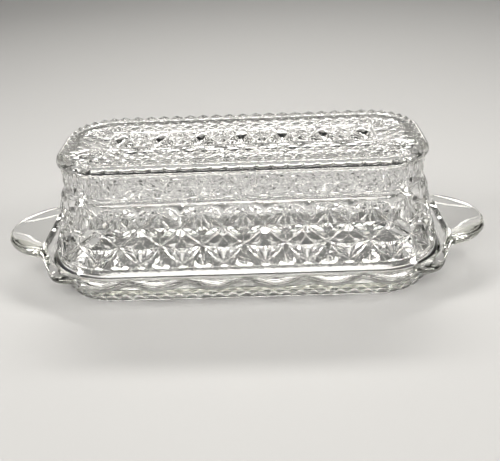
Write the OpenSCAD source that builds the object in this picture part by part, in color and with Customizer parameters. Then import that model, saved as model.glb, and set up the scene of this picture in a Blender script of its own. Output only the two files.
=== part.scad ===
// Butter dish in clear pressed glass: a tray with two end tabs and a lift-off lid.
// Underside of the foot on z = 0, long side along X, centre of the dish on the Z axis.
// Every outline is the same rounded rectangle moved outwards from one core rectangle, so a
// section is written once as [distance out from the core, height] and swept round the dish.

/* [Overall] */
// Length over the two tabs
dish_length = 210; // [204:1:218]
// Length of the tray without the tabs
tray_length = 179; // [176:1:182]
// Outer length of the lid at its lip
lid_length = 166; // [162:1:168]
// Outer width of the lid at its lip
lid_width = 75; // [74:1:84]
// Corner radius of the lid at its lip
lip_corner = 28; // [27:0.5:29]
// Highest point of the lid when it's on the tray
dish_height = 61.2; // [58:0.2:70]

/* [Tray] */
// Length of the foot
foot_length = 157; // [154:1:158]
// Height of the straight band above the foot
foot_band = 5.8; // [5:0.1:6.2]
// Glass left under the well
floor_thickness = 4; // [3:0.1:5]
// Hollow under the floor, inside the foot ring
foot_recess = 0.9; // [0.4:0.1:1.2]
// Width of the ring the dish stands on
foot_ring = 2.4; // [1.6:0.1:3]
// Height of the flat ledge the lid rests on
ledge_height = 12.8; // [12:0.1:13.4]
// Depth of each scallop of the rim
scallop_depth = 2.6; // [1:0.1:3.4]
// Scallops in a quarter of the rim; half a tab takes the place of the last one
scallops = 5; // [4:1:6]
// Rise and fall of the rim between scallop and cusp
rim_wave = 0.7; // [0:0.1:1]
// Thickness of the rim at its edge
rim_edge = 2.8; // [2.2:0.1:3.2]

/* [Tabs] */
// Thickness of the tab handles
tab_thickness = 4.4; // [3.6:0.1:5]
// Middle height of the tabs
tab_height = 18.4; // [16.5:0.1:19]

/* [Lid] */
// Thickness of the side glass
wall = 3.6; // [3:0.1:4.2]
// Thickness of the top glass
roof = 3.8; // [3:0.1:4.6]
// Height of the bead row that edges the top
bead_rise = 1.6; // [0.8:0.1:2]
// Depth of the sunk panel in the top
panel_depth = 1; // [0.4:0.1:1.4]
// Length of the sunk panel
panel_length = 110; // [100:1:116]
// Width of the sunk panel
panel_width = 19.6; // [18:0.4:28]

/* [Hidden] */
$fn = 96;
core_x = lid_length / 2 - lip_corner;
core_y = lid_width / 2 - lip_corner;
rim_out = tray_length / 2 - core_x;
foot_out = foot_length / 2 - core_x;
glass = [0.86, 0.89, 0.86, 0.55];

// Points of an arc, angles in degrees, in the section plane.
function arc(c, r, a0, a1, n) =
    [for (i = [0 : n]) c + r * [cos(a0 + (a1 - a0) * i / n), sin(a0 + (a1 - a0) * i / n)]];

// Smooth step from 0 to 1 while x goes from a to b.
function ease(x, a, b) =
    let (t = min(1, max(0, (x - a) / (b - a)))) t * t * (3 - 2 * t);

// A smooth curve through the points of a list, each span cut into n pieces.
function curve(p, n) = [
    for (i = [0 : len(p) - 2], k = [0 : n - 1])
        let (
            t = k / n,
            a = p[max(0, i - 1)],
            b = p[i],
            c = p[i + 1],
            d = p[min(len(p) - 1, i + 2)]
        )
        0.5 * (2 * b + (c - a) * t + (2 * a - 5 * b + 4 * c - d) * t * t
            + (3 * b - a - 3 * c + d) * t * t * t),
    p[len(p) - 1]
];

// A section swept round the core rectangle. The list starts and ends on the core (out = 0).
module sweep_section(section) {
    for (sx = [-1, 1], sy = [-1, 1])
        translate([sx * core_x, sy * core_y, 0])
            rotate([0, 0, sx > 0 ? (sy > 0 ? 0 : 270) : (sy > 0 ? 90 : 180)])
                rotate_extrude(angle = 90)
                    polygon(section);
    for (s = [0, 180])
        rotate([0, 0, s]) {
            translate([-core_x, -core_y, 0])
                rotate([90, 0, 90])
                    linear_extrude(2 * core_x)
                        polygon([for (p = section) [-p.x, p.y]]);
            translate([core_x, core_y, 0])
                rotate([90, 0, 0])
                    linear_extrude(2 * core_y)
                        polygon(section);
        }
    low = min([for (p = section) p.x == 0 ? p.y : 1000]);
    high = max([for (p = section) p.x == 0 ? p.y : -1000]);
    translate([-core_x, -core_y, low])
        cube([2 * core_x, 2 * core_y, high - low]);
}

// ---- Lid ----

// Heights of the lid, up from the ledge
lid_rise = dish_height - ledge_height;
top_face = lid_rise - bead_rise;
shoulder_out = lip_corner - 6.2;
bead_out = shoulder_out - 3.8;

// Outside of the lid: flared lip, ogee skirt, cove, straight band, rolled shoulder, bead row.
lid_outside = concat(
    [[0, 0], [lip_corner - 0.9, 0]],
    arc([lip_corner - 0.9, 0.9], 0.9, -60, 0, 2),
    [[lip_corner, 2.2], [lip_corner - 0.5, 4]],
    curve([
        [lip_corner - 0.9, 4.6],
        [lip_corner - 1.8, 8.4],
        [lip_corner - 4.2, 13.4],
        [lip_corner - 5.7, 20.4],
        [lip_corner - 6.1, top_face - 17.6]
    ], 4),
    curve([
        [lip_corner - 6.5, top_face - 16.9],
        [lip_corner - 7.8, top_face - 15.2],
        [lip_corner - 8, top_face - 13.2]
    ], 3),
    [[lip_corner - 8, top_face - 4.2], [shoulder_out - 1.2, top_face - 3.9]],
    arc([shoulder_out - 2.6, top_face - 2.6], 2.6, -25, 90, 8),
    arc([bead_out, top_face], bead_rise, 40, 180, 6),
    [[0, top_face]]
);

// Space inside the lid.
lid_inside = concat(
    [[0, -1], [lip_corner - wall, -1], [lip_corner - wall, 1]],
    curve([
        [lip_corner - wall - 0.6, 4.6],
        [lip_corner - wall - 1.8, 8.4],
        [lip_corner - wall - 4.2, 13.4],
        [lip_corner - wall - 5.7, 20.4],
        [lip_corner - wall - 6.1, top_face - 17.6],
        [lip_corner - wall - 7.8, top_face - 12.5],
        [lip_corner - wall - 8, top_face - 8.6]
    ], 3),
    arc([lip_corner - wall - 11, top_face - roof - 3], 3, 0, 90, 5),
    [[0, top_face - roof]]
);

module lid() {
    color(glass)
        translate([0, 0, ledge_height])
            difference() {
                sweep_section(lid_outside);
                sweep_section(lid_inside);
                translate([-panel_length / 2, -panel_width / 2, top_face - panel_depth])
                    cube([panel_length, panel_width, 2 * bead_rise]);
            }
}

// ---- Tray ----

// Foot, flared body and ledge, without the well.
well_floor = foot_recess + floor_thickness;
ledge_in = lip_corner - wall - 0.6;
ledge_out = lip_corner + 0.9;
ring_out = foot_out - 0.6;
tray_body = [
    [0, foot_recess],
    [ring_out - foot_ring - 0.6, foot_recess],
    [ring_out - foot_ring, 0],
    [ring_out, 0],
    [foot_out - 0.2, 0.5],
    [foot_out + 0.4, foot_band],
    [foot_out + 0.9, foot_band + 0.6],
    [foot_out + 3.1, foot_band + 3.2],
    [ledge_out, ledge_height - 2],
    [ledge_out, ledge_height],
    [0, ledge_height]
];

// The well sunk in the tray, cut a little past the ledge.
tray_well = [
    [0, ledge_height + 1],
    [ledge_in + 0.6, ledge_height + 1],
    [ledge_in + 0.6, ledge_height],
    [ledge_in, ledge_height - 0.6],
    [foot_out - 1.6, well_floor + 1.8],
    [foot_out - 2.2, well_floor + 0.6],
    [foot_out - 3.6, well_floor],
    [0, well_floor]
];

// Length of a quarter of the rim from the middle of the long side to the middle of the end.
quarter = core_x + rim_out * PI / 2 + core_y;
steps = 8 * scallops;

// The notch where a tab meets the rim, one scallop from the middle of the end, and the
// tab's round outline through both notches and its tip.
notch_at = quarter * (scallops - 1) / scallops;
notch_turn = (quarter - core_y - notch_at) / rim_out * 180 / PI;
notch_out = rim_out - 0.6;
notch_x = core_x + notch_out * cos(notch_turn);
notch_y = core_y + notch_out * sin(notch_turn);
tab_reach = dish_length / 2 - notch_x;
tab_disc = (pow(notch_y, 2) + pow(tab_reach, 2)) / (2 * tab_reach);
tab_centre = dish_length / 2 - tab_disc;

// Turn of the rim's outward direction at distance q along the quarter.
function turn_at(q) = min(90, max(0, (q - core_x) / rim_out * 180 / PI));
function core_at(q) = [min(q, core_x), core_y - max(0, q - quarter + core_y)];

// Reach of the scalloped rim, deepest in at each cusp.
function scallop_at(q) =
    let (t = 2 * (q * scallops / quarter - floor(q * scallops / quarter)) - 1)
    scallop_depth * (0.75 * t * t + 0.125 * (1 - cos(180 * t)));

// Reach of the tab's round outline along the outward direction.
function tab_at(q) =
    let (
        o = core_at(q) - [tab_centre, 0],
        d = [sin(turn_at(q)), cos(turn_at(q))],
        b = o * d,
        k = b * b - o * o + tab_disc * tab_disc
    )
    k > 0 ? sqrt(k) - b : 0;

// Section of the rim or tab at distance q: [out, up] round a closed loop.
function rim_section(q) =
    let (
        on_tab = ease(q, notch_at - 9, notch_at + 1.5),
        edge = rim_edge + (tab_thickness - rim_edge) * on_tab,
        lobe = rim_out - scallop_at(q) * (1 - on_tab),
        reach = max(lobe, tab_at(q)),
        wave = rim_wave * (2 * scallop_at(q) / scallop_depth - 1),
        mid = (ledge_height - 0.3 + wave) * (1 - on_tab) + tab_height * on_tab,
        top = mid + edge / 2,
        low = mid - edge / 2,
        crest = min(reach - 0.6 * edge, ledge_out + 2.4 + 0.6 * on_tab),
        root = min(reach - 0.8 * edge, ledge_out + 3.4 + 1.2 * on_tab)
    )
    concat(
        [[ledge_out - 1.2, ledge_height - 0.9], [ledge_out + 0.3, ledge_height + 0.2]],
        [[crest - 0.5, 0.25 * ledge_height + 0.75 * top - 0.1], [crest, top]],
        arc([reach - edge / 2, mid], edge / 2, 80, -80, 4),
        [[root, low], [root - 1.4, 0.5 * low + 0.5 * (foot_band + 4)]],
        [[ledge_out - 3, foot_band + 3.4], [ledge_out - 3.6, foot_band + 4.2]]
    );

// A point of the rim in space, quarters counted round the dish.
function rim_point(quarter_no, q, p) =
    let (
        c = core_at(q),
        a = turn_at(q),
        x = c.x + p.x * sin(a),
        y = c.y + p.x * cos(a),
        sx = quarter_no == 0 || quarter_no == 1 ? 1 : -1,
        sy = quarter_no == 0 || quarter_no == 3 ? -1 : 1
    )
    [sx * x, sy * y, p.y];

// Stations round the rim: out along even quarters, back along odd ones.
stations = [
    for (k = [0 : 3], i = [0 : steps - 1])
        [k, quarter * (k % 2 == 0 ? i : steps - i) / steps]
];

module rim_ring() {
    rings = [for (s = stations) [for (p = rim_section(s[1])) rim_point(s[0], s[1], p)]];
    n = len(rings[0]);
    m = len(rings);
    polyhedron(
        [for (r = rings, p = r) p],
        [
            for (i = [0 : m - 1], j = [0 : n - 1])
                let (i2 = (i + 1) % m, j2 = (j + 1) % n)
                each [
                    [i * n + j, i2 * n + j2, i * n + j2],
                    [i * n + j, i2 * n + j, i2 * n + j2]
                ]
        ],
        convexity = 12
    );
}

module tray() {
    color(glass) {
        difference() {
            sweep_section(tray_body);
            sweep_section(tray_well);
        }
        rim_ring();
    }
}

tray();
lid();
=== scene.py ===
import math

import bpy
from mathutils import Matrix, Vector


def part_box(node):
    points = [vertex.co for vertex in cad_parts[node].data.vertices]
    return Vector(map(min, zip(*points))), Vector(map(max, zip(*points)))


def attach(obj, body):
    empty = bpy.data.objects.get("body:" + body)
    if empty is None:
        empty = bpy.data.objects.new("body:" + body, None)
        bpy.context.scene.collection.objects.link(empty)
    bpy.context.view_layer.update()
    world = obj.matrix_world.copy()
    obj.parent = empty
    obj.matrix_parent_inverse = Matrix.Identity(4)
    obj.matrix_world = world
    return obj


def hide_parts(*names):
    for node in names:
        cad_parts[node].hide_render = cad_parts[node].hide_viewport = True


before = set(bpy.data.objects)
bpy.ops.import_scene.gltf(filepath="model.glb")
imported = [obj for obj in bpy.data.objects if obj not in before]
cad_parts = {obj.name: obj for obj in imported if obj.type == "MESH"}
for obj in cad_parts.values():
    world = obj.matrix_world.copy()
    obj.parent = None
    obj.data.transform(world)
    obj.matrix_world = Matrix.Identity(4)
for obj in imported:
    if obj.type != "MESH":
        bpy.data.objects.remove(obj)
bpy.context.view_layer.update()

# ---------------------------------------------------------------------------------------
# Tray: one pressing of clear glass. A foot with a band of fine points, a flared body with
# a sunk well, a flat ledge for the lid, a scalloped rim, and a round tab at each end that
# is moulded in one with it. Fire-polished, so every moulded edge is slightly soft.
# ---------------------------------------------------------------------------------------
MM = 0.001
tray_low, tray_high = (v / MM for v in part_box("tray"))
lid_low, lid_high = (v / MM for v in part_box("lid"))
LIP = 28.0  # corner radius of the lid at its lip
CORE_X = lid_high.x - LIP  # every outline runs round this core rectangle
CORE_Y = lid_high.y - LIP
GUIDE = 23.5  # lengths round the dish are taken this far out from the core
CORNER = GUIDE * math.pi / 2
ROUND = 4 * (CORE_X + CORE_Y + CORNER)
LEDGE = lid_low.z
RIM = tray_high.y - CORE_Y
TIP = tray_high.x


def turned(s):
    """Corner of the core, and the outward direction, at length s round the dish."""
    s = s % ROUND
    runs = (
        (CORE_X, (0, -CORE_Y), (1, 0), -90),
        (2 * CORE_Y, (CORE_X, -CORE_Y), (0, 1), 0),
        (2 * CORE_X, (CORE_X, CORE_Y), (-1, 0), 90),
        (2 * CORE_Y, (-CORE_X, CORE_Y), (0, -1), 180),
        (CORE_X, (-CORE_X, -CORE_Y), (1, 0), 270),
    )
    for length, start, way, facing in runs:
        if s <= length:
            return start[0] + way[0] * s, start[1] + way[1] * s, math.radians(facing)
        s -= length
        if s <= CORNER:
            a = math.radians(facing) + s / GUIDE
            return start[0] + way[0] * length, start[1] + way[1] * length, a
        s -= CORNER
    return 0.0, -CORE_Y, math.radians(270)


def place(s, out, up):
    """A point out from the core and up from the table, in metres."""
    x, y, a = turned(s)
    return Vector((x + out * math.cos(a), y + out * math.sin(a), up)) * MM


def quarter_length(s, guide):
    """Length from the middle of the long side, folded into one quarter, at another guide."""
    s = s % (ROUND / 2)
    s = min(s, ROUND / 2 - s)
    bend = min(max(s - CORE_X, 0), CORNER)
    return min(s, CORE_X) + bend * guide / GUIDE + max(0, s - CORE_X - CORNER)


POLISH = 0.3  # width of the polished edge on each side of a broad facet
SINK = 0.5  # a facet lies this share of its edge's width below its outline
HOLD = 0.3  # share of that width that keeps the facet flat inside its edge
# half width of a facet from, and to, and its share of POLISH
EDGES = ((0.2, 0.5, 0.3), (0.5, 0.8, 0.6), (0.8, math.inf, 0.9))


def half_width(mesh, face):
    """Half the width of a facet, in mm."""
    corners = [mesh.vertices[i].co for i in face.vertices]
    round_it = sum((a - b).length for a, b in zip(corners, corners[1:] + corners[:1]))
    return 2 * face.area / round_it / MM


class Pressing:
    """A closed skin of glass laid down ring by ring, from pieces that meet at their rings."""

    def __init__(self):
        self.points, self.faces, self.soft = [], [], []

    def add(self, p):
        self.points.append(p)
        return len(self.points) - 1

    def face(self, corners, soft):
        self.faces.append(corners)
        self.soft.append(soft)

    def ring(self, count, out, up):
        """A ring of evenly spaced points. out is a number or a function of s."""
        made = []
        for i in range(count):
            s = ROUND * i / count
            o = out(s) if callable(out) else out
            made.append((s, self.add(place(s, o, up))))
        return made

    def join(self, inner, outer):
        """Skin between two rings, which may have different numbers of points."""
        a, b = sorted(inner), sorted(outer)
        i = j = 0
        while i < len(a) or j < len(b):
            ai, bj = a[i % len(a)][1], b[j % len(b)][1]
            an, bn = a[(i + 1) % len(a)], b[(j + 1) % len(b)]
            sa = an[0] + (ROUND if i + 1 >= len(a) else 0)
            sb = bn[0] + (ROUND if j + 1 >= len(b) else 0)
            if i < len(a) and j < len(b) and abs(sa - sb) < 1e-6:
                self.face((ai, bj, bn[1], an[1]), True)
                i, j = i + 1, j + 1
            elif j >= len(b) or (i < len(a) and sa < sb):
                self.face((ai, bj, an[1]), True)
                i += 1
            else:
                self.face((ai, bj, bn[1]), True)
                j += 1

    def sweep(self, section, count):
        """Rings through a section, a list of (out, up), joined one to the next."""
        rings = [self.ring(count, o, z) for o, z in section]
        for a, b in zip(rings, rings[1:]):
            self.join(a, b)
        return rings[0], rings[-1]

    def close(self, ring):
        """A flat face across a ring."""
        self.face(tuple(p for s, p in sorted(ring)), True)

    def points_band(self, rows, count, low, high):
        """Fine pyramids in a diamond net. rows are (out, up, (out, up) of their outward way);
        low and high are how far the net and the points stand out from the rows."""
        half = 0.5
        nodes, apexes = [], []
        pitch = ROUND / count
        for j, (out, up, way) in enumerate(rows):
            edge = j in (0, len(rows) - 1)
            row, tops = {}, {}
            for i in range(count):
                s = pitch * (i + (half if j % 2 else 0))
                deep = 0 if edge else low
                row[i] = (s, self.add(place(s, out + way[0] * deep, up + way[1] * deep)))
                s = s + pitch * half
                lift = 0 if edge else high
                tops[i] = (s, self.add(place(s, out + way[0] * lift, up + way[1] * lift)))
            nodes.append(row)
            apexes.append(tops)
        for j in range(len(rows)):
            for i in range(count):
                a = nodes[j][i][1]
                b = nodes[j][(i + 1) % count][1]
                top = apexes[j][i][1]
                k = (i + (1 if j % 2 else 0)) % count
                if j > 0:
                    under = nodes[j - 1][k][1]
                    self.face((a, under, top), False)
                    self.face((under, b, top), False)
                if j < len(rows) - 1:
                    over = nodes[j + 1][k][1]
                    self.face((a, top, over), False)
                    self.face((top, b, over), False)
        ends = []
        for j in (0, len(rows) - 1):
            ring = list(nodes[j].values()) + list(apexes[j].values())
            ends.append([(s % ROUND, p) for s, p in ring])
        return ends

    def piece(self, name):
        """The finished skin as an object: seams merged, faces outward, and a fire-polished
        edge round every cut facet."""
        mesh = bpy.data.meshes.new(name)
        mesh.from_pydata(self.points, [], self.faces)
        mesh.polygons.foreach_set("use_smooth", [True] * len(self.faces))
        cut = mesh.attributes.new("cut", "BOOLEAN", "FACE")
        cut.data.foreach_set("value", [not soft for soft in self.soft])
        made = bpy.data.objects.new(name, mesh)
        bpy.context.collection.objects.link(made)
        bpy.ops.object.select_all(action="DESELECT")
        made.select_set(True)
        bpy.context.view_layer.objects.active = made
        bpy.context.tool_settings.mesh_select_mode = (False, False, True)
        bpy.ops.object.mode_set(mode="EDIT")
        bpy.ops.mesh.select_all(action="SELECT")
        bpy.ops.mesh.remove_doubles(threshold=0.000001)
        bpy.ops.mesh.dissolve_degenerate(threshold=0.0000005)
        bpy.ops.mesh.normals_make_consistent(inside=False)
        bpy.ops.object.mode_set(mode="OBJECT")
        # wide edges on the broad facets, narrow ones on the fine points
        for least, most, share in EDGES:
            width = POLISH * share * MM
            cut = [f.value for f in mesh.attributes["cut"].data]
            sizes = [half_width(mesh, face) for face in mesh.polygons]
            mesh.polygons.foreach_set(
                "select", [c and least <= size < most for c, size in zip(cut, sizes)])
            bpy.ops.object.mode_set(mode="EDIT")
            bpy.ops.mesh.inset(thickness=width, depth=-SINK * width,
                               use_individual=True, use_even_offset=True)
            bpy.ops.mesh.inset(thickness=HOLD * width, depth=0.0,
                               use_individual=True, use_even_offset=True)
            bpy.ops.object.mode_set(mode="OBJECT")
            for i, face in enumerate(mesh.polygons):
                if face.select or i >= len(cut):
                    mesh.attributes["cut"].data[i].value = False
        mesh.attributes.remove(mesh.attributes["cut"])
        return made


def bow(points, steps):
    """A smooth curve through the points of a section."""
    made = []
    for i in range(len(points) - 1):
        a, b = points[max(0, i - 1)], points[i]
        c, d = points[i + 1], points[min(len(points) - 1, i + 2)]
        for k in range(steps):
            t = k / steps
            made.append(tuple(
                0.5 * (2 * q + (r - p) * t + (2 * p - 5 * q + 4 * r - v) * t * t
                       + (3 * q - p - 3 * r + v) * t ** 3)
                for p, q, r, v in zip(a, b, c, d)
            ))
    return made + [points[-1]]


def arc(out, up, radius, first, last, steps):
    """Points of a round edge, between two angles in degrees."""
    return [
        (out + radius * math.cos(math.radians(first + (last - first) * k / steps)),
         up + radius * math.sin(math.radians(first + (last - first) * k / steps)))
        for k in range(steps + 1)
    ]


def ease(x, a, b):
    """0 before a, 1 after b, and smooth between them."""
    t = min(1, max(0, (x - a) / (b - a)))
    return t * t * (3 - 2 * t)


SCALLOPS = 5  # in a quarter of the rim; half a tab takes the place of the last
SCALLOP_DEPTH = 2.6
RIM_WAVE = 0.7
RIM_EDGE, TAB_THICK = 2.8, 4.4
TAB_UP = tray_high.z - TAB_THICK / 2
QUARTER = CORE_X + RIM * math.pi / 2 + CORE_Y
NOTCH = QUARTER * (SCALLOPS - 1) / SCALLOPS
notch_turn = (QUARTER - CORE_Y - NOTCH) / RIM
notch_x = CORE_X + (RIM - 0.6) * math.cos(notch_turn)
notch_y = CORE_Y + (RIM - 0.6) * math.sin(notch_turn)
TAB_ROUND = (notch_y ** 2 + (TIP - notch_x) ** 2) / (2 * (TIP - notch_x))
TAB_CENTRE = TIP - TAB_ROUND
LEDGE_OUT = LIP + 0.9
LEDGE_IN = 23.8
FOOT = 23.5
FOOT_BAND = 5.8
FOOT_POINTS = 72
WELL_FLOOR = 4.9
MIDDLE = 15.0  # the flat middle of the well and of the recess starts here
TRAY_STEPS = 480


def scallop(q):
    """How far the rim dips in at length q of a quarter, deepest at each cusp."""
    t = 2 * (q * SCALLOPS / QUARTER % 1.0) - 1
    return SCALLOP_DEPTH * (0.75 * t * t + 0.125 * (1 - math.cos(math.pi * t)))


def tab_reach(s):
    """How far out the round outline of a tab is from the core at length s."""
    x, y, a = turned(s)
    dx, dy = math.cos(a), math.sin(a)
    ox, oy = abs(x) - TAB_CENTRE, y
    along = ox * abs(dx) + oy * dy
    inside = along * along - ox * ox - oy * oy + TAB_ROUND ** 2
    return math.sqrt(inside) - along if inside > 0 and abs(dx) > 0.2 else 0.0


def rim_at(s):
    """Sizes of the rim's section at length s: reach, middle height, thickness, share of tab."""
    q = quarter_length(s, RIM)
    tab = ease(q, NOTCH - 9, NOTCH + 1.5)
    dip = scallop(q)
    reach = max(RIM - dip * (1 - tab), tab_reach(s))
    wave = RIM_WAVE * (2 * dip / SCALLOP_DEPTH - 1)
    middle = (LEDGE - 0.3 + wave) * (1 - tab) + TAB_UP * tab
    return reach, middle, RIM_EDGE + (TAB_THICK - RIM_EDGE) * tab, tab


def rim_section(s):
    """Section of the rim or tab, from the ledge round the edge to the body under it."""
    reach, middle, thick, tab = rim_at(s)
    top, low = middle + thick / 2, middle - thick / 2
    crest = min(reach - 0.6 * thick, LEDGE_OUT + 2.4 + 0.6 * tab)
    root = min(reach - 0.8 * thick, LEDGE_OUT + 3.4 + 1.2 * tab)
    rise = bow([
        (LEDGE_OUT - 0.9, LEDGE), (LEDGE_OUT + 0.5, LEDGE + 0.35),
        (crest - 0.8, 0.35 * LEDGE + 0.65 * top), (crest, top - 0.05)], 2)
    edge = arc(reach - thick / 2, middle, thick / 2, 84, -84, 6)
    under = [(root, low), (root - 1.4, 0.5 * low + 0.5 * (FOOT_BAND + 4))]
    return rise + edge + under + [(FOOT + 3.1, FOOT_BAND + 3.2)]


def build_tray():
    glass = Pressing()
    count = TRAY_STEPS
    well = [(MIDDLE, WELL_FLOOR), (FOOT - 3.8, WELL_FLOOR)]
    well += bow([(FOOT - 3.6, WELL_FLOOR), (FOOT - 2.2, 5.6), (FOOT - 1.5, 6.9)], 3)
    well += bow([(FOOT - 1.3, 7.4), (LEDGE_IN - 0.4, LEDGE - 0.8)], 2)
    well += arc(LEDGE_IN + 0.8, LEDGE - 0.9, 0.9, 170, 90, 4)
    inner, ledge = glass.sweep(well, count)
    glass.close(inner)
    sections = [rim_section(ROUND * i / count) for i in range(count)]
    last = ledge
    for j in range(len(sections[0])):
        ring = []
        for i in range(count):
            s = ROUND * i / count
            o, z = sections[i][j]
            ring.append((s, glass.add(place(s, o, z))))
        glass.join(last, ring)
        last = ring
    for o, z in bow([(FOOT + 2.2, FOOT_BAND + 1.9), (FOOT + 1.1, FOOT_BAND + 0.8),
                     (FOOT + 0.5, FOOT_BAND + 0.3)], 2):
        ring = glass.ring(count, o, z)
        glass.join(last, ring)
        last = ring
    rows = [(FOOT + 0.45, FOOT_BAND, (1, 0)), (FOOT + 0.3, 4.3, (1, 0)),
            (FOOT + 0.15, 2.8, (1, 0)), (FOOT, 1.0, (1, 0))]
    top, bottom = glass.points_band(rows, FOOT_POINTS, -0.7, 0.45)
    glass.join(last, top)
    foot = [(FOOT - 0.1, 0.8), (FOOT - 0.35, 0.25), (FOOT - 0.8, 0.0), (FOOT - 3.0, 0.0)]
    foot += [(FOOT - 3.4, 0.3), (FOOT - 3.8, 0.9), (MIDDLE, 0.9)]
    first, recess = glass.sweep(foot, count)
    glass.join(bottom, first)
    glass.close(recess)
    return glass.piece("pressed_tray")


tray = build_tray()


GLASS_IOR = 1.52
MATT_ROUGHNESS = 0.6
MATT_CLEARNESS = 0.15  # share of light that still passes straight through ground glass


def clear_glass(name, tint, density, smoothness, ground):
    """Clear pressed glass: fire-polished skin, slight mould ripple, tint in the thickness,
    and a matt ring ground flat at the height ground, in metres."""
    ground_edge, ground_full = ground + 0.35 * MM, ground + 0.1 * MM
    mat = bpy.data.materials.new(name)
    mat.use_nodes = True
    nodes, links = mat.node_tree.nodes, mat.node_tree.links
    nodes.clear()
    out = nodes.new("ShaderNodeOutputMaterial")
    skin = nodes.new("ShaderNodeBsdfPrincipled")
    skin.inputs["Base Color"].default_value = (1, 1, 1, 1)
    skin.inputs["Transmission Weight"].default_value = 1.0
    skin.inputs["IOR"].default_value = GLASS_IOR
    where = nodes.new("ShaderNodeTexCoord")
    ripple = nodes.new("ShaderNodeTexNoise")
    ripple.inputs["Scale"].default_value = 120.0
    ripple.inputs["Detail"].default_value = 2.0
    swirl = nodes.new("ShaderNodeTexNoise")
    swirl.inputs["Scale"].default_value = 38.0
    swirl.inputs["Detail"].default_value = 3.0
    bump = nodes.new("ShaderNodeBump")
    bump.inputs["Strength"].default_value = 0.12
    bump.inputs["Distance"].default_value = 0.0002
    rough = nodes.new("ShaderNodeMapRange")
    rough.inputs["To Min"].default_value = smoothness[0]
    rough.inputs["To Max"].default_value = smoothness[1]
    body = nodes.new("ShaderNodeVolumeAbsorption")
    body.inputs["Color"].default_value = tint
    body.inputs["Density"].default_value = density
    height = nodes.new("ShaderNodeSeparateXYZ")
    flat = nodes.new("ShaderNodeMapRange")
    flat.inputs["From Min"].default_value = ground_edge
    flat.inputs["From Max"].default_value = ground_full
    flat.clamp = True
    matt = nodes.new("ShaderNodeMix")
    matt.inputs["B"].default_value = MATT_ROUGHNESS
    clear = nodes.new("ShaderNodeMapRange")
    clear.inputs["To Min"].default_value = 1.0
    clear.inputs["To Max"].default_value = MATT_CLEARNESS
    links.new(where.outputs["Object"], height.inputs["Vector"])
    links.new(height.outputs["Z"], flat.inputs["Value"])
    links.new(flat.outputs["Result"], matt.inputs["Factor"])
    links.new(flat.outputs["Result"], clear.inputs["Value"])
    links.new(clear.outputs["Result"], skin.inputs["Transmission Weight"])
    links.new(where.outputs["Object"], ripple.inputs["Vector"])
    links.new(where.outputs["Object"], swirl.inputs["Vector"])
    links.new(ripple.outputs["Fac"], bump.inputs["Height"])
    links.new(swirl.outputs["Fac"], rough.inputs["Value"])
    links.new(rough.outputs["Result"], matt.inputs["A"])
    links.new(matt.outputs["Result"], skin.inputs["Roughness"])
    links.new(bump.outputs["Normal"], skin.inputs["Normal"])
    links.new(skin.outputs["BSDF"], out.inputs["Surface"])
    links.new(body.outputs["Volume"], out.inputs["Volume"])
    return mat


tray.data.materials.append(
    clear_glass("tray pressed glass", (0.87, 0.89, 0.76, 1), 12.0, (0.0, 0.04), 0.0))
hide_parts("tray")
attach(tray, "tray")

# ---------------------------------------------------------------------------------------
# Lid: a hollow cover pressed in one piece. From the lip up: a flared lip, the skirt with
# its net of stars and gems under a scalloped edge, a smooth cove, a band of fine diamonds,
# the rolled shoulder, a row of pointed beads, and the patterned top round a sunk panel.
# ---------------------------------------------------------------------------------------
STARS = 24
STAR_PITCH = ROUND / STARS
FINE = 68  # fine diamonds, ticks and beads round the dish
TOP = lid_high.z - 1.6
WALL = 3.6
ROOF = 3.8
LID_STEPS = 384
TICK_STEPS = 8  # steps round the shoulder to each tick
TICK_DEPTH = 0.35
BORDER_OUT, BORDER_IN, BORDER_ROWS = 16.9, 1.2, 5  # fine diamonds on the top
SKIRT = [(LIP - 1.5, LEDGE + 4.6), (LIP - 2.2, LEDGE + 8.4), (LIP - 4.2, LEDGE + 13.4),
         (LIP - 5.7, LEDGE + 20.4), (LIP - 6.1, LEDGE + 29.2)]
skirt_line = bow(SKIRT, 12)


def skirt_out(z):
    """How far out the bare skirt is from the core at a height."""
    for (o1, z1), (o2, z2) in zip(skirt_line, skirt_line[1:]):
        if z <= z2:
            return o1 + (o2 - o1) * (z - z1) / (z2 - z1)
    return skirt_line[-1][0]


# Corners of the cuts in the right half of one star: across, height, relief.
H = STAR_PITCH / 2
cuts = {
    "U": (0, 33.7, 1.1), "M": (H / 2, 30.05, 1.1), "L": (H, 26.4, 1.1),
    "N": (2.2, 30.2, -0.6), "Q": (6.5, 26.9, 0.3),
    "K": (0, 28.4, -1.9), "KR": (2.75, 25.2, 1.0), "D": (1.2, 23.0, -1.0),
    "B": (0, 18.9, 0.9), "X": (2.3, 22.1, -0.4),
    "Vo": (H, 29.9, 1.0), "Ko": (H - 4.2, 33.5, 1.0),
    "Vb": (H, 31.0, -1.0), "Kc": (H - 2.35, 33.4, 0.5), "Kd": (H, 33.3, 0.5),
    "Ts": (H - 0.95, 39.4, 0.6), "Ti": (H - 0.5, 39.5, -0.9),
    "P": (4.0, 36.6, -1.7), "R": (1.2, 36.2, 0.3), "C": (0, 38.9, 0.7), "T": (H, 42.4, 0.1),
    "A1": (H / 4, 40.24, 0.5), "A2": (H / 2, 41.37, 0.3), "A3": (3 * H / 4, 42.13, 0.2),
    "Ya": (H - 1.6, 24.2, -1.3), "Yb": (H, 21.4, 0.9), "G": (5.0, 21.3, -1.2),
    "Hh": (6.3, 19.0, 0.7),
    "b0": (0, 17.4, 0), "b1": (H / 4, 17.4, 0), "b2": (H / 2, 17.4, 0),
    "b3": (3 * H / 4, 17.4, 0), "b4": (H, 17.4, 0),
}
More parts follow.
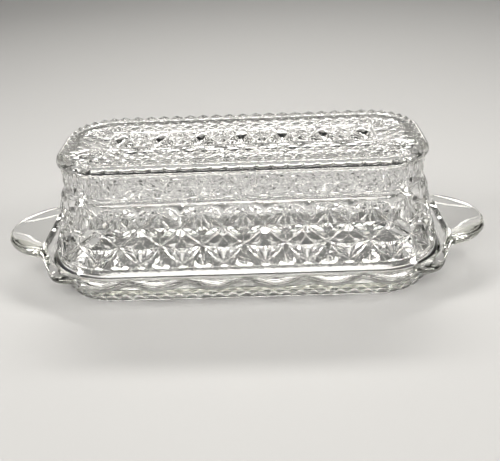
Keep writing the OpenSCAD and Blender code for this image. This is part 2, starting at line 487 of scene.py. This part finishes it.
facets = [
    # upper gem: a plain rim, the bright lower slope, and a tall dart above it
    ("U", "M", "Vo", "Ko"), ("M", "L", "Vo"), ("Ko", "Vo", "Vb", "Kc"),
    ("Kc", "Vb", "Kd"), ("Kc", "Kd", "Ti"), ("Ko", "Kc", "Ti", "Ts"),
    ("Ti", "Kd", "_Ti"), ("Ts", "Ti", "T"), ("Ti", "_Ti", "T"),
    # petals beside it under the arch
    ("U", "R", "C"), ("U", "P", "R"), ("R", "P", "C"), ("C", "P", "A1"),
    ("A1", "P", "A2"), ("A2", "P", "A3"), ("A3", "P", "Ts"), ("A3", "Ts", "T"),
    ("P", "Ko", "Ts"), ("U", "Ko", "P"),
    # lower star: pale bands on the diagonals, dark panes between them and the kite
    ("U", "N", "M"), ("M", "N", "Q", "L"), ("U", "K", "N"), ("N", "K", "KR", "Q"),
    ("Q", "KR", "L"), ("L", "KR", "X"), ("KR", "B", "X"), ("L", "X", "B"),
    # small cuts down to the lip
    ("L", "Ya", "Yb"), ("B", "L", "G"), ("L", "G", "Ya"), ("Ya", "G", "Yb"),
    ("G", "Yb", "Hh"), ("Yb", "b4", "Hh"), ("B", "G", "b1"), ("B", "b1", "b0"),
    ("G", "b2", "b1"), ("G", "Hh", "b2"), ("Hh", "b3", "b2"), ("Hh", "b4", "b3"),
]


def star_band(glass):
    """The net of stars and gems round the skirt; gives its lower and upper edge as rings."""
    low, high = [], []

    def point(i, name, side):
        x, z, w = cuts[name]
        s = (STAR_PITCH * i + side * x) % ROUND
        return s, glass.add(place(s, skirt_out(z) + w, z))

    for i in [k + 0.5 for k in range(STARS)]:
        for side in (1, -1):
            made = {n: point(i, n, side) for n in cuts}
            # the other side of the gem that lies across the star's edge
            x, z, w = cuts["Ti"]
            s = (STAR_PITCH * i + side * (2 * H - x)) % ROUND
            made["_Ti"] = (s, glass.add(place(s, skirt_out(z) + w, z)))
            for f in facets:
                if "_Ti" in f and side < 0:
                    continue
                glass.face(tuple(made[n][1] for n in f), False)
            low += [made[n] for n in ("b0", "b1", "b2", "b3", "b4")]
            high += [made[n] for n in ("C", "A1", "A2", "A3", "T")]
        # the kite below each star
        r = {n: point(i, n, 1)[1] for n in ("K", "KR", "D", "B")}
        m = {n: point(i, n, -1)[1] for n in ("KR", "D")}
        glass.face((r["K"], m["KR"], r["KR"]), False)
        glass.face((m["KR"], m["D"], r["D"], r["KR"]), False)
        glass.face((m["KR"], r["B"], m["D"]), False)
        glass.face((r["KR"], r["D"], r["B"]), False)
        glass.face((m["D"], r["B"], r["D"]), False)

    def ring(points):
        """The points of one edge, each place once."""
        kept = {}
        for s, p in points:
            kept.setdefault(round(s, 4) % round(ROUND, 4), (s, p))
        return list(kept.values())

    return ring(low), ring(high)


PANEL_GEMS = 13  # domes and fans by turns, set in a row
GEM = STAR_PITCH / 4  # half the width of one
PANEL_END = PANEL_GEMS * GEM
PANEL_WIDE, PANEL_WAVE = 8.9, 0.8
FLOOR = TOP - 0.5  # height from which the domes rise
NET = TOP + 0.1  # height of the ridges between them
TURNS = 24  # points round one gem
END_SLOPE = 1.4  # length over which the panel's ends rise to the border
EDGE_RISE = 0.25
DOME_RISE = 2.0
DOME_FILL = 0.93  # share of its mesh that a dome fills
PETAL_REACH = 0.36


def panel_edge(x):
    """Half width of the patterned panel, which waves in beside the fans."""
    return PANEL_WIDE + PANEL_WAVE * math.cos(math.pi * x / (2 * GEM))


def gem_panel(glass):
    """The row of domes and fans in its net of ridges; gives its outline as a ring."""
    made = {}

    def point(x, y, z=None):
        if z is None:
            edge = max(abs(y) / panel_edge(x), (abs(x) - PANEL_END + END_SLOPE) / END_SLOPE)
            z = NET + EDGE_RISE * max(0, edge) ** 4
        key = (round(x, 3), round(y, 3), round(z, 3))
        if key not in made:
            made[key] = glass.add(Vector((x, y, z)) * MM)
        return made[key]

    def diamond(cx):
        """Outline of the mesh round one gem, between the ridges."""
        yf = panel_edge(cx)
        ring = []
        for i in range(TURNS):
            c, d = math.cos(2 * math.pi * i / TURNS), math.sin(2 * math.pi * i / TURNS)
            r = 1 / (abs(c) + abs(d))
            ring.append((cx + GEM * r * c, yf * r * d))
        return ring

    def shrunk(ring, cx, cy, share, oval, z):
        """A loop drawn in towards a point, part way to an oval."""
        inner = []
        blend = 1 - share * share
        for x, y in ring:
            dx, dy = x - cx, y - cy
            size = math.hypot(dx / oval[0], dy / oval[1]) or 1
            fx = dx * (1 - blend) + blend * dx / size
            fy = dy * (1 - blend) + blend * dy / size
            inner.append(point(cx + share * fx, cy + share * fy, z))
        return inner

    def skin(outer, inner):
        """Smooth faces between two loops of the same number of points."""
        for i in range(len(outer)):
            j = (i + 1) % len(outer)
            glass.face((outer[i], outer[j], inner[j], inner[i]), True)

    def dome(cx):
        """A smooth cabochon that fills one mesh of the net."""
        ring = diamond(cx)
        oval = (0.8 * GEM, 0.8 * panel_edge(cx))
        last = [point(x, y) for x, y in ring]
        for share in (DOME_FILL, 0.84, 0.7, 0.52, 0.3):
            rise = math.sqrt(1 - (share / DOME_FILL) ** 2.6)
            step = shrunk(ring, cx, 0, share, oval, FLOOR + DOME_RISE * rise)
            skin(last, step)
            last = step
        top = point(cx, 0, FLOOR + DOME_RISE)
        for i in range(TURNS):
            glass.face((last[i], last[(i + 1) % TURNS], top), True)

    def fan(cx):
        """Petals cut round a raised point, in one mesh of the net."""
        ring = diamond(cx)
        hub = point(cx, 0, NET + 0.3)
        for i in range(0, TURNS, 3):
            run = [ring[(i + k) % TURNS] for k in range(4)]
            low = point(cx + PETAL_REACH * (run[0][0] + run[3][0] - 2 * cx),
                        PETAL_REACH * (run[0][1] + run[3][1]), FLOOR - 0.2)
            run = [point(x, y) for x, y in run]
            glass.face((hub, run[0], low), False)
            glass.face((hub, low, run[3]), False)
            glass.face((low, *run), False)

    def spandrel(loop):
        """The three-cornered gap between two gems, with an oval dimple sunk in it."""
        cx = sum(x for x, y in loop) / len(loop)
        cy = sum(y for x, y in loop) / len(loop)
        last = [point(x, y) for x, y in loop]
        for share, z in ((0.72, NET - 0.15), (0.55, FLOOR - 0.5), (0.3, FLOOR - 0.9)):
            step = shrunk(loop, cx, cy, share, (2.4, 1.7), z)
            skin(last, step)
            last = step
        low = point(cx, cy, FLOOR - 1.0)
        for i in range(len(last)):
            glass.face((last[i], last[(i + 1) % len(last)], low), True)

    quarter = TURNS // 4
    half = PANEL_GEMS // 2
    outline = []
    for k in range(-half, half + 1):
        (fan if k % 2 else dome)(2 * GEM * k)
    for side in (-1, 1):
        for k in range(-half - 1, half + 1):
            # down one gem's side, along the panel's edge, and up the next one's
            here, there = 2 * GEM * k, 2 * GEM * (k + 1)
            turn = [(x, side * abs(y)) for x, y in diamond(here)[:quarter + 1]]
            back = [(x, side * abs(y)) for x, y in diamond(there)[quarter:2 * quarter + 1]]
            base = [(here + (there - here) * i / 6, 0) for i in range(7)]
            base = [(x, side * panel_edge(x)) for x, y in base]
            if k == -half - 1:
                base = [(-PANEL_END, 0.5 * base[-1][1]), (-PANEL_END, base[-1][1])] + base[4:]
                loop = base + back[1:]
            elif k == half:
                base = base[:3] + [(PANEL_END, base[0][1]), (PANEL_END, 0.5 * base[0][1])]
                loop = turn + base[1:]
            else:
                loop = turn + base[1:] + back[1:-1]
            spandrel(loop)
            outline += base
    outline += [(-PANEL_END, 0), (PANEL_END, 0)]
    ring = {}
    for x, y in outline:
        if abs(x) < PANEL_END - 1e-6:
            s = abs(x) if y < 0 else ROUND / 2 - abs(x)
        elif abs(y) > 0.9 * panel_edge(PANEL_END):
            s = CORE_X + CORNER / 2 if y < 0 else ROUND / 2 - CORE_X - CORNER / 2
        else:
            s = CORE_X + CORNER + CORE_Y + y
        s = s if x >= 0 else ROUND - s
        ring[round(s % ROUND, 6)] = point(x, y)
    return sorted(ring.items())


def build_lid():
    glass = Pressing()
    count = LID_STEPS
    # inside, from the middle of the roof down to the lip and round it
    inside = [(8.0, TOP - ROOF), (LIP - WALL - 11, TOP - ROOF)]
    inside += arc(LIP - WALL - 11, TOP - ROOF - 3, 3, 80, 10, 5)
    inside += [(LIP - WALL - 8, TOP - ROOF - 3.4)]
    inside += bow([(LIP - WALL - 8, TOP - 8.6), (LIP - WALL - 7.8, TOP - 12.5),
                   (LIP - WALL - 6.3, LEDGE + 29.2), (LIP - WALL - 5.9, LEDGE + 20.4),
                   (LIP - WALL - 4.4, LEDGE + 13.4), (LIP - WALL - 2.0, LEDGE + 8.4),
                   (LIP - WALL - 0.7, LEDGE + 4.6), (LIP - WALL, LEDGE + 0.9)], 4)
    inside += [(LIP - WALL + 0.3, LEDGE + 0.25), (LIP - WALL + 0.9, LEDGE)]
    inside += arc(LIP - 0.9, LEDGE + 0.9, 0.9, -90, 0, 5)
    inside += bow([(LIP - 0.02, LEDGE + 1.1), (LIP - 0.15, LEDGE + 1.35)], 2)
    inside += [(LIP - 0.3, LEDGE + 1.6), (LIP - 1.0, LEDGE + 2.525), (LIP - 1.7, LEDGE + 3.45)]
    inside += [(LIP - 1.8, LEDGE + 3.75), (LIP - 1.82, LEDGE + 4.2)]
    roof, lip = glass.sweep(inside, count)
    glass.close(roof)
    low, high = star_band(glass)
    glass.join(lip, low)
    # cove above the scalloped edge, and the band of fine diamonds over it
    cove = bow([(LIP - 6.45, LEDGE + 30.1), (LIP - 7.0, LEDGE + 30.9),
                (LIP - 7.3, LEDGE + 31.0), (LIP - 7.55, LEDGE + 31.5),
                (LIP - 8.0, LEDGE + 32.3), (LIP - 8.1, LEDGE + 33.0)], 3)
    first, last = glass.sweep(cove, count)
    glass.join(high, first)
    rows = [(LIP - 8.05, 46.2, (1, 0)), (LIP - 8.0, 49.3, (1, 0)),
            (LIP - 7.9, 52.4, (1, 0)), (LIP - 7.9, 55.3, (1, 0))]
    bottom, top = glass.points_band(rows, FINE, -0.32, 0.4)
    glass.join(last, bottom)
    # rolled shoulder with a short tick over each diamond
    shoulder = [(LIP - 7.7, 55.55), (LIP - 7.3, 55.7), (LIP - 7.1, 55.9)]
    shoulder += arc(LIP - 8.8, TOP - 2.6, 2.6, -18, 78, 10)
    last = top
    for o, z in shoulder:
        depth = TICK_DEPTH * ease(z, 55.6, 56.2) * (1 - ease(z, TOP - 1.4, TOP - 0.7))

        def notched(s):
            step = round(s * FINE * TICK_STEPS / ROUND) % TICK_STEPS
            return o - (depth if step == 0 else 0)

        ring = glass.ring(FINE * TICK_STEPS, notched, z)
        glass.join(last, ring)
        last = ring
    # pointed beads round the top edge
    rows = [(LIP - 8.5, TOP - 0.05, (0, 1)), (LIP - 9.8, TOP + 0.25, (0, 1)),
            (LIP - 11.1, TOP - 0.1, (0, 1))]
    outer, inner = glass.points_band(rows, FINE, 0.1, 1.3)
    glass.join(last, outer)
    # border of fine diamonds
    rows = [(BORDER_OUT - (BORDER_OUT - BORDER_IN) * j / BORDER_ROWS, TOP - 0.1, (0, 1))
            for j in range(BORDER_ROWS + 1)]
    border_edge, panel_side = glass.points_band(rows, FINE, -0.2, 0.25)
    glass.join(inner, border_edge)
    glass.join(panel_side, gem_panel(glass))
    return glass.piece("pressed_lid")


lid = build_lid()
lid.data.materials.append(
    clear_glass("lid pressed glass", (0.90, 0.905, 0.82, 1), 8.0, (0.0, 0.03), LEDGE * MM))
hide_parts("lid")
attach(lid, "lid")

# ---------------------------------------------------------------------------------------
# Table, light and camera: a plain pale floor, soft boxes above and to the sides.
# ---------------------------------------------------------------------------------------
bpy.ops.object.select_all(action="DESELECT")
bpy.ops.mesh.primitive_plane_add(size=8, location=(0, 1.5, 0))
floor = bpy.context.object
floor.name = "floor"
paper = bpy.data.materials.new("pale paper")
paper.use_nodes = True
shade = paper.node_tree.nodes["Principled BSDF"]
shade.inputs["Base Color"].default_value = (0.36, 0.36, 0.36, 1)
shade.inputs["Roughness"].default_value = 0.6
floor.data.materials.append(paper)

world = bpy.data.worlds.new("studio")
bpy.context.scene.world = world
world.use_nodes = True
world.node_tree.nodes["Background"].inputs["Color"].default_value = (0.02, 0.02, 0.02, 1)
world.node_tree.nodes["Background"].inputs["Strength"].default_value = 1.0

BOX_SPREAD = math.radians(72)  # a grid on each box keeps its light on the dish
BOX_COLOUR = (1.0, 0.975, 0.93)


def soft_box(name, place_at, aim, size, power):
    light = bpy.data.lights.new(name, "AREA")
    light.shape = "RECTANGLE"
    light.size, light.size_y = size
    light.energy = power
    light.color = BOX_COLOUR
    light.spread = BOX_SPREAD
    made = bpy.data.objects.new(name, light)
    bpy.context.collection.objects.link(made)
    made.location = place_at
    made.rotation_euler = (Vector(aim) - Vector(place_at)).to_track_quat("-Z", "Y").to_euler()
    return made


soft_box("high back box", (0.0, 0.75, 0.95), (0, 0, 0.03), (1.2, 0.14), 2.1)
soft_box("low back box", (0.0, 1.3, 0.27), (0, 0, 0.03), (1.6, 0.16), 1.1)
soft_box("table box", (0.0, 1.3, 0.8), (0, 1.3, 0), (2.4, 0.3), 1.6)
soft_box("left box", (-0.9, -0.3, 0.45), (0, 0, 0.03), (0.14, 0.6), 1.7)
soft_box("right box", (0.9, -0.3, 0.45), (0, 0, 0.03), (0.14, 0.6), 1.7)
soft_box("front box", (0, -0.9, 0.9), (0, 0, 0.03), (1.3, 0.32), 4.0)

camera = bpy.data.cameras.new("camera")
view = bpy.data.objects.new("camera", camera)
bpy.context.collection.objects.link(view)
bpy.context.scene.camera = view
camera.sensor_width = 36.0
camera.lens = 56.434
view.location = (0.00952, -0.31537, 0.16963)
right = Vector((0.99924754, 0.00579781, -0.03835034))
upward = Vector((0.03189769, 0.4396771, 0.89758932))
back = Vector((0.02206582, -0.8981372, 0.43916132))
view.rotation_mode = "QUATERNION"
view.rotation_quaternion = Matrix((right, upward, back)).transposed().to_quaternion()
camera.clip_start, camera.clip_end = 0.01, 20

bpy.context.scene.view_settings.view_transform = "Standard"
cycles = bpy.context.scene.cycles
cycles.max_bounces = 24
cycles.transmission_bounces = 24
cycles.glossy_bounces = 8
cycles.transparent_max_bounces = 8
